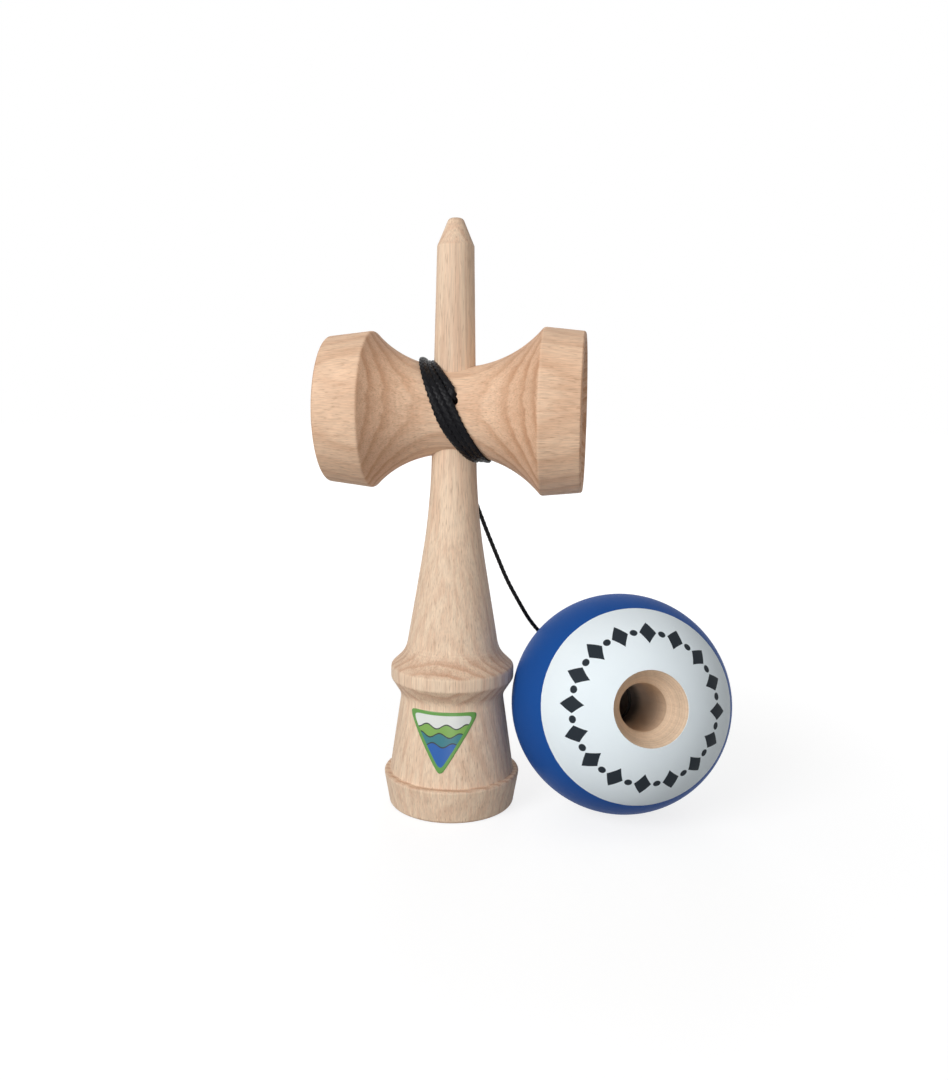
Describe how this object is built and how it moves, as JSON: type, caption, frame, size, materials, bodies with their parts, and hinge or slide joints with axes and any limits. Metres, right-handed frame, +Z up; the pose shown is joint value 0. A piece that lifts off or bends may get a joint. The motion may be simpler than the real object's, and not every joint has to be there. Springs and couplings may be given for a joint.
{
  "type": "kendama",
  "caption": "Turned wooden kendama: a cross-cupped handle with a spike, and a painted ball with a bevelled hole, tied by a thin string wound round the waist.",
  "frame": {"origin": "centre of the ken's foot, on the surface that the ken stands on", "axes": "+Z up the ken's axis to the spike, +X along the sarado towards the big cup, +Y away from the viewer"},
  "size_m": [0.1106, 0.065, 0.1592],
  "materials": {
    "beech": "fine-sanded bare beech",
    "painted_ball": "satin blue and white paint on wood",
    "string": "braided black nylon",
    "bead_wood": "smooth bare wood"
  },
  "bodies": {
    "ken": {"ken": "beech", "sarado": "beech", "wound_string": "string", "anchor_knot": "string"},
    "line": {"free_string": "string", "bead": "bead_wood", "bead_knot": "string"},
    "tama": {"tama": "painted_ball"}
  },
  "joints": [
    {"name": "string_swing", "type": "hinge", "parent": "ken", "child": "line", "pos_m": [-0.0035, 0.01362, 0.1075], "axis": [1, 0, 0], "range_deg": [0, 90]},
    {"name": "tama_spin", "type": "hinge", "parent": "line", "child": "tama", "pos_m": [0.04657, 0.00277, 0.03], "axis": [0.2606, -0.9333, 0.247], "continuous": true}
  ]
}
